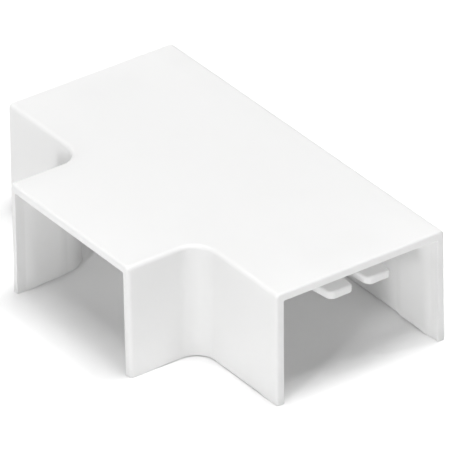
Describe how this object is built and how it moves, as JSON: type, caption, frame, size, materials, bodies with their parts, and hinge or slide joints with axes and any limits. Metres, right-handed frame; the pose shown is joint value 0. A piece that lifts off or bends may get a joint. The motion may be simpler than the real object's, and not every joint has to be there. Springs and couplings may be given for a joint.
{
  "type": "trunking tee fitting",
  "caption": "White moulded flat tee cover for rectangular cable trunking: a straight run with a short side branch, open underneath, with clip tongues inside the run's ends.",
  "frame": {"origin": "middle of the outline's bounding box, on the plane of the rim that stands on the wall", "axes": "+X along the run, -Y the way the branch points, +Z out of the wall through the top plate"},
  "size_m": [0.0984, 0.0622, 0.0272],
  "materials": {
    "white_plastic": "satin moulded white plastic"
  },
  "bodies": {
    "root": {"tee_cover": "white_plastic"}
  },
  "joints": []
}
